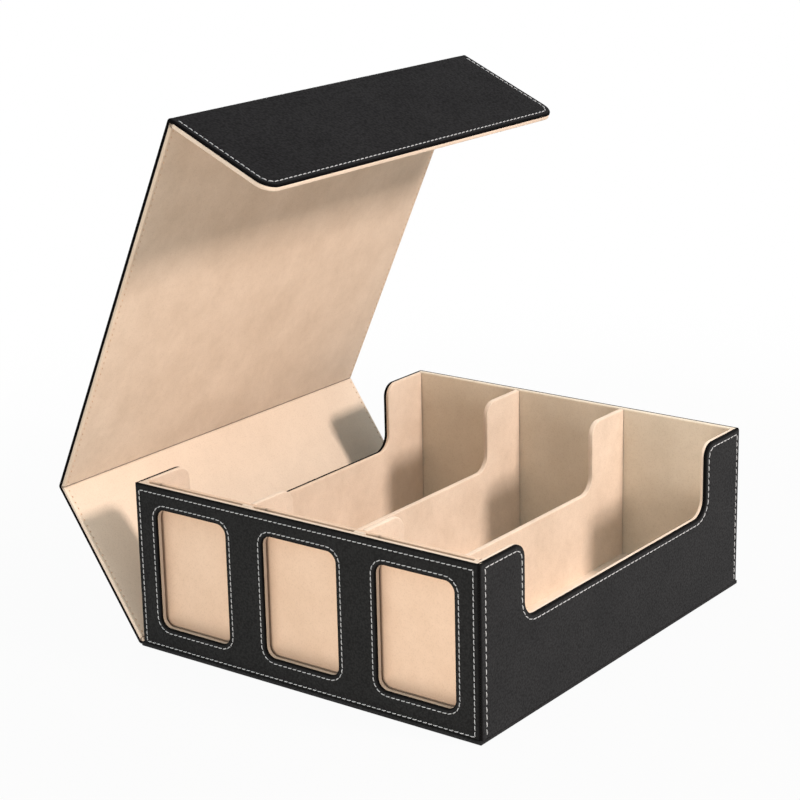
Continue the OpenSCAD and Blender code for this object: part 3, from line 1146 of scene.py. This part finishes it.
@dataclass
class BasePanel:
    """The base panel of the lid, which the tray stands on."""

    fold_x: float = -145.9 * MM
    # How far the centre line's end is from the right edge.
    ridge: float = 60 * MM

    def edge_line(self) -> Outline:
        """Its three outer edges, from the fold round the front, the right and
        the back, with mitred corners; the feet lie on its centre line."""
        x, y, left = BOX.half_w, BOX.half_d, self.fold_x
        stops = np.array([(left, -y), (x, -y), (x, y), (left, y)])
        mitres = np.array([(0, 1), (-1, 1), (-1, -1), (0, -1)], float)
        feet = np.array([(v, 0.0) for v in (left, x - self.ridge, x - self.ridge, left)])
        return mitred(stops, mitres, feet)

    def build(self) -> None:
        """Builds the leather under the panel and over its edge."""
        leather = Piece("base_panel_leather_skin", LEATHER, "tray")
        for z, out, edge in ((0, opposite(Z), UNDER_LEATHER), (BOX.base_t, Z, OVER_LEATHER)):
            leather.add(skin(Plane((0, 0, z), X, Y, out), self.edge_line(), edge))
        leather.build("base_leather")


# ---------------------------------------------------------------- the lid


def axes(angle: Array) -> Pair:
    """A panel's length and its inward direction at angles from upright:
    (sin, 0, cos) and (cos, 0, -sin)."""
    a = np.radians(angle)
    zero = np.zeros_like(a)
    return np.stack([np.sin(a), zero, np.cos(a)], -1), np.stack([np.cos(a), zero, -np.sin(a)], -1)


@dataclass(frozen=True)
class Fold:
    """A fold of the lid: its axis and the two panels that meet in it.

    Angles are those of a panel's length from upright towards +X, in degrees.
    """

    name: str
    x: float
    z: float
    before: float
    after: float
    bodies: tuple[str, str]
    half_t: float = BOX.lid_half
    gap: float = 3.0 * MM
    before_inner: float = BOX.lid_half
    # How far to each side of the axis the ends of the leather strip's bend are put; nothing uses those ends.
    bending: float = 1.2 * MM
    # The suede's crease: its slack, the lip before it and how far, in degrees,
    # the skin leans at the lip and in the corner.
    slack: float = 0.25 * MM
    lip: float = 0.3 * MM
    lean: tuple[float, float] = (4, 6)

    @property
    def axis(self) -> Array:
        """The fold's axis where Y is 0."""
        return np.array([self.x, 0.0, self.z])

    def following(self, name: str, length: float, after: float, bodies: tuple[str, str]) -> "Fold":
        """Gives the fold at the far end of this one's second panel: its axis
        plus length times (sin, cos) of the panel's angle.

        Args:
            name: The fold's name.
            length: From one axis to the next.
            after: Angle of the panel after it, in degrees.
            bodies: The CAD bodies that it joins.

        Returns:
            The fold.
        """
        turn = math.radians(self.after)
        x, z = self.x + length * math.sin(turn), self.z + length * math.cos(turn)
        return Fold(name, x, z, self.after, after, bodies)

    def outside(self, count: int = 13) -> Path:
        """The leather's face: straight along the first panel, round the axis
        at half a panel's thickness, and straight along the second."""
        lead, tail = np.linspace(-self.gap, 0, 4)[:-1], np.linspace(0, self.gap, 4)[1:]
        turn = np.linspace(self.before, self.after, count)
        angle = np.concatenate([np.full(3, self.before), turn, np.full(3, self.after)])
        slide = np.concatenate([lead, np.zeros(count), tail])
        along, inward = axes(angle)
        return Path(self.axis + slide[:, None] * along - self.half_t * inward, -inward)

    def inside(self) -> Path:
        """The suede's face: along each panel to the corner where the two
        faces meet. Painted shade darkens it by 0.3 at the lips of the corner's
        crease and by 0.95 in it."""
        half_turn = math.radians(self.after - self.before) / 2
        meet = self.half_t * math.tan(half_turn) + self.slack
        corner = min(self.half_t / math.cos(half_turn) - 3 * self.slack, self.half_t - self.slack)
        middle, near, (lip, deep) = (self.before + self.after) / 2, meet + self.lip, self.lean
        first = [self.before, self.before, self.before + lip]
        last = [self.after - lip, self.after, self.after]
        angle = np.array([*first, middle - deep, middle + deep, *last])
        slide = np.array([-self.gap, -near, -meet, 0, 0, meet, near, self.gap])
        slide = np.clip(slide, -self.gap, self.gap)
        lift = np.array([self.before_inner, *[self.half_t] * 2, *[corner] * 2, *[self.half_t] * 3])
        along, inward = axes(angle)
        # Painted shade at the crease's lips and in it.
        crease = np.array([0, 0, 0.3, 0.95, 0.95, 0.3, 0, 0])
        return Path(self.axis + slide[:, None] * along + lift[:, None] * inward, inward, crease)

    def build(self) -> None:
        """Builds both strips: the leather round the axis, and the suede through
        the corner of its crease."""
        before, after = (self.bending * axes(np.array([a]))[0][0] for a in (self.before, self.after))
        outer, inner = self.outside(), self.inside()
        round_axis, crease = (self.axis - before, self.axis + after), inner.points[[2, -3]]
        strips = (
            ("leather_strip", LID_SHADED_LEATHER, outer, LID_LEATHER, (self.name,), round_axis),
            ("suede_strip", SUEDE, inner, LID_LINING, (), crease),
        )
        for word, finish, path, edge, nodes, (start, end) in strips:
            piece = Piece(f"{self.name}_{word}", finish, "")
            made = piece.add(sweep(path, edge, BOX.lid_y)).build(*nodes, sharp=75)
            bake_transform(made)


@dataclass(frozen=True)
class LidSide:
    """One side of a lid panel: the height of its face over the panel's middle,
    its skin and how that is turned over the edge, the words in its pieces' and
    its CAD node's names, and its thread and seam."""

    face: float
    finish: Finish
    edge: TurnedEdge
    word: str
    node: str
    thread: Finish
    seam: Seam

    def build(self, name: str, sheet: Grid, lines: list[Array], out: Array) -> None:
        """Builds a panel's skin on this side, and its stitching.

        Args:
            name: The panel's name.
            sheet: The skin.
            lines: The seams' paths, (n, 3) each.
            out: The way the skin faces, (3,).
        """
        Piece(f"{name}_{self.word}", self.finish, name).add(sheet).build(f"{name}_{self.node}")
        thread = Piece(f"{name}_{self.node}_stitching", self.thread, name)
        for line in lines:
            self.seam.sew(thread, line, out)
        thread.build()


def lid_sides(leather: TurnedEdge, lining: TurnedEdge, suede: Finish) -> tuple[LidSide, LidSide]:
    """Gives a panel's outside and its inside."""
    half = BOX.lid_half
    return (
        LidSide(-half, LID_SHADED_LEATHER, leather, "leather_skin", "leather", THREAD, LID_SEAM),
        LidSide(half, suede, lining, "suede_lining", "lining", LINING_THREAD, LINING_SEAM),
    )


@dataclass
class LidPanel:
    """A flat panel of the lid between two folds."""

    name: str
    fold: Fold
    length: float
    lining: Finish = SUEDE
    # Points across the panel.
    count: int = 9

    def path(self, face: float) -> Path:
        """The line from one fold's gap to the next, on one of its faces.

        Args:
            face: Height of the face over the panel's middle, towards the
                inside of the box.

        Returns:
            The path, looking out of that face.
        """
        along, inward = axes(np.full(self.count, self.fold.after))
        slide = np.linspace(self.fold.gap, self.length - self.fold.gap, self.count)
        points = self.fold.axis + slide[:, None] * along + face * inward
        return Path(points, math.copysign(1, face) * inward)

    def build(self) -> None:
        """Builds the leather, the lining and the stitching along both ends."""
        for side in lid_sides(LID_LEATHER, LID_LINING, self.lining):
            path, edge = self.path(side.face), side.edge
            sunk = path.points - edge.trough_depth * path.normals
            across = np.array([0, BOX.lid_y - edge.trough_at, 0])
            lines = [sunk + end * across for end in (-1, 1)]
            side.build(self.name, sweep(path, edge, BOX.lid_y), lines, path.normals[0])


@dataclass
class Flap:
    """The closing flap, with round corners and stitched on three sides."""

    fold: Fold
    length: float = 89 * MM
    corner_r: float = 12 * MM
    # How far the feet of the sides and of the corners' two ends lie in, past
    # the border.
    feet: Vec = (0.0, 5 * MM, 9 * MM)

    def edge_line(self, reach: float) -> Outline:
        """Its free edge from fold to fold: a side, a quarter circle, the long
        edge, and the same again; the feet lie on the fold."""
        y, gap, r, end = BOX.lid_y, self.fold.gap, self.corner_r, self.length
        inward = np.array([1.0, 0.0])
        feet = [np.array([-y + (reach + more), gap]) for more in self.feet]
        edges = np.array([-y, gap]), np.array([-y, end - r])
        side = straight(*edges, (inward, inward), (feet[0], feet[1]), np.linspace(0, 1, 17))
        turn = bend(np.array([-y + r, end - r]), r, (180, 90), -1, (feet[1], feet[2]), 15)
        half = joined(side, turn)
        other = half.mirrored()
        return joined(half, bridge(half, other, 31), other)

    def build(self) -> None:
        """Builds the leather, the lining and both sides of the stitching."""
        along, inward = (v[0] for v in axes(np.array([self.fold.after])))
        for side in lid_sides(FLAP_LEATHER, FLAP_LINING, SUEDE):
            out, edge = math.copysign(1, side.face) * inward, side.edge
            at = self.fold.axis + side.face * inward
            plane, line = Plane(tuple(at), Y, tuple(along), tuple(out)), self.edge_line(edge.reach)
            seam = plane.lift(line.inset(edge.trough_at), -edge.trough_depth)
            side.build("flap", skin(plane, line, edge, fill=5), [seam], out)


# ---------------------------------------------------------------- studio


@dataclass(frozen=True)
class Lamp:
    """A rectangular lamp that looks at the middle of the box."""

    name: str
    at: Vec
    size: tuple[float, float]
    power: float
    colour: Vec
    target: Vec = (-0.05, 0, 0.12)

    def hang(self) -> None:
        """Adds the lamp, unseen by the camera."""
        data = bpy.data.lights.new(self.name, "AREA")
        data.shape, data.energy, data.color = "RECTANGLE", self.power, self.colour
        data.size, data.size_y = self.size
        lamp = bpy.data.objects.new(self.name, data)
        lamp.visible_camera = False
        aim = (Vector(self.target) - Vector(self.at)).to_track_quat("-Z", "Y")
        lamp.matrix_world = Matrix.Translation(self.at) @ aim.to_matrix().to_4x4()
        bpy.context.scene.collection.objects.link(lamp)


# A small warm lamp at the right, a wide low one in front and a large white one
# behind the lid.
LAMPS = (
    Lamp("key_lamp", (1.25, 0.18, 1.045), (0.23, 0.23), 23.0, (1.0, 0.835, 0.735)),
    Lamp("fill_lamp", (0.35, -1.2, 0.11), (0.7, 0.2), 9.2, (1.0, 0.88, 0.77)),
    Lamp("back_lamp", (-1.25, 1.05, 0.28), (0.7, 0.7), 22.0, (1.0, 1.0, 1.0)),
)


@dataclass(frozen=True)
class Studio:
    """The camera of the photo, three lamps, a pale floor and light from all
    round."""

    lens: float = 99.77
    azimuth: float = 36.97
    elevation: float = 16.66
    roll: float = -1.28
    camera_at: Vec = (0.87635, -1.21680, 0.61171)
    horizon: float = 0.2
    zenith: float = 1.05
    sky: tuple[float, ...] = (0.9, 1.0, 1.0, 1.0)
    # Heights, as the Z of a direction, between which the light grows.
    sky_band: tuple[float, float] = (0.3, 0.95)
    sensor: float = 36.0
    clip: tuple[float, float] = (0.05, 50.0)
    paper: str = "#9a9a9a"
    # Distances between which the floor fades, and its share of white there.
    fade_at: tuple[float, float] = (0.3, 1.0)
    white: tuple[float, float] = (0.955, 1.0)
    floor_z: float = -0.3 * MM
    rings: tuple[float, ...] = (0.02, 0.3, 0.6, 1.0, 2.0, 5.0, 12.0)

    def camera(self) -> None:
        """Sets the camera: right, up and back are its axes, turned by the
        azimuth about Z, then the elevation, then the roll."""
        data = bpy.data.cameras.new("camera")
        data.lens, data.sensor_width = self.lens, self.sensor
        data.clip_start, data.clip_end = self.clip
        camera = bpy.data.objects.new("camera", data)
        angles = ((self.azimuth, "Z"), (90 - self.elevation, "X"), (self.roll, "Z"))
        turns = [Matrix.Rotation(math.radians(angle), 4, axis) for angle, axis in angles]
        camera.matrix_world = Matrix.Translation(self.camera_at) @ (turns[0] @ turns[1]) @ turns[2]
        bpy.context.scene.collection.objects.link(camera)
        bpy.context.scene.camera = camera

    @staticmethod
    def seen(tree: Tree) -> Socket:
        """Gives 1 for rays from the camera, a reflection or through glass, and
        0 for the rays that light the box."""
        rays = add_node(tree, "LightPath").outputs
        mirrored = calc(tree, "MAXIMUM", rays["Is Glossy Ray"], rays["Is Transmission Ray"])
        return calc(tree, "MAXIMUM", rays["Is Camera Ray"], mirrored)

    def world(self) -> None:
        """Light from all round, brighter from above than from the horizon; the
        camera and reflections see it as white."""
        world = bpy.data.worlds.new("studio")
        world.use_nodes = True
        tree = world.node_tree
        seen, place = self.seen(tree), add_node(tree, "TexCoord").outputs["Generated"]
        up = add_node(tree, "SeparateXYZ", {0: place}).outputs["Z"]
        light = remap(tree, up, self.sky_band, (self.horizon, self.zenith))
        colour = mix(tree, seen, self.sky, linear(WHITE))
        strength = mix(tree, seen, light, 1.0, "FLOAT")
        set_inputs(tree.nodes["Background"], {"Color": colour, "Strength": strength})
        bpy.context.scene.world = world

    def floor_material(self) -> bpy.types.Material:
        """Pale paper that fades to white away from the box."""
        material = bpy.data.materials.new("floor_pale_paper")
        material.use_nodes = True
        tree = material.node_tree
        paper = tree.nodes["Principled BSDF"]
        colour = linear(self.paper)
        set_inputs(paper, {"Base Color": colour, "Roughness": 0.9, "Specular IOR Level": 0.1})
        place = add_node(tree, "TexCoord").outputs["Object"]
        away = add_node(tree, "VectorMath", {0: place}, operation="LENGTH").outputs["Value"]
        far = remap(tree, away, self.fade_at, self.white, interpolation_type="SMOOTHSTEP")
        share = calc(tree, "MULTIPLY", far, self.seen(tree))
        white = add_node(tree, "Emission", {"Strength": 1.0, "Color": linear(WHITE)})
        shaders = {0: share, 1: paper.outputs["BSDF"], 2: white.outputs["Emission"]}
        mixed = add_node(tree, "MixShader", shaders).outputs["Shader"]
        set_inputs(tree.nodes["Material Output"], {"Surface": mixed})
        return material

    def floor(self) -> None:
        """A round floor just under the box: rings of points, and a middle."""
        ring = np.array(self.rings)[:, None]
        angle = np.radians(np.arange(0, 360, 7.5))
        x, y = ring * np.cos(angle), ring * np.sin(angle)
        points = np.stack([x, y, np.full(x.shape, self.floor_z)], -1).reshape(-1, 3)
        index = np.arange(x.size).reshape(x.shape)
        quads = cells(np.concatenate([index, index[:, :1]], 1))
        mesh = bpy.data.meshes.new("floor")
        mesh.from_pydata(points.tolist(), [], quads.tolist() + [index[0].tolist()])
        mesh.materials.append(self.floor_material())
        floor = bpy.data.objects.new("floor", mesh)
        bpy.context.scene.collection.objects.link(floor)

    def build(self) -> None:
        """Sets up the camera, the lamps, the world and the floor."""
        self.camera()
        for lamp in LAMPS:
            lamp.hang()
        self.world()
        self.floor()
        bpy.context.scene.view_settings.view_transform = "Standard"


def dress_cad() -> None:
    """Gives the CAD nodes that stay their finishes."""
    slots = {entry["node"]: entry["material_slot"] for entry in frame["record"]["subparts"]}
    finishes = {"leather": LEATHER, "suede": SUEDE, "board": BOARD, "magnet": NICKEL}
    for name, node in frame["nodes"].items():
        node.data.materials.clear()
        node.data.materials.append(finishes[slots[name]].material())


# Angles of the base panel, the side panel, the top panel and the flap from
# upright towards +X, in degrees: the lid stands part open, as in the photo.
LID_ANGLES = (-90.0, -34.2, 24.3, 114.3)
# How far over the first fold's axis its suede starts, on the base panel.
BASE_INNER = 0.4 * MM


def lid() -> None:
    """Builds the lid: first its folds and then its panels."""
    half, gap = BOX.lid_half, BOX.lid_gap
    side_l, top_l = BOX.height + gap, 2 * (BOX.half_w + gap + half)
    first, bodies = -BOX.half_w - gap - half, ("tray", "side_panel")
    base = Fold("base_fold", first, half, *LID_ANGLES[:2], bodies, before_inner=BASE_INNER)
    top = base.following("top_fold", side_l, LID_ANGLES[2], ("side_panel", "top_panel"))
    flap = top.following("flap_fold", top_l, LID_ANGLES[3], ("top_panel", "flap"))
    for fold in (base, top, flap):
        fold.build()
    # The side panel's lining is painted lighter and the top panel's darker, as painted light and shade.
    LidPanel("side_panel", base, side_l, SIDE_LIT_SUEDE).build()
    LidPanel("top_panel", top, top_l, TOP_SHADED_SUEDE).build()
    Flap(flap).build()


def main() -> None:
    """Builds the box piece by piece."""
    logging.basicConfig(level=logging.INFO, format="%(name)s: %(message)s")
    Studio().build()
    dress_cad()
    for side in Side:
        SideWall(side).build()
        Divider(side).build()
    for part in (BackWall(), FrontWall(), PocketBack(), BasePanel()):
        part.build()
    lid()


if __name__ == "__main__":
    main()
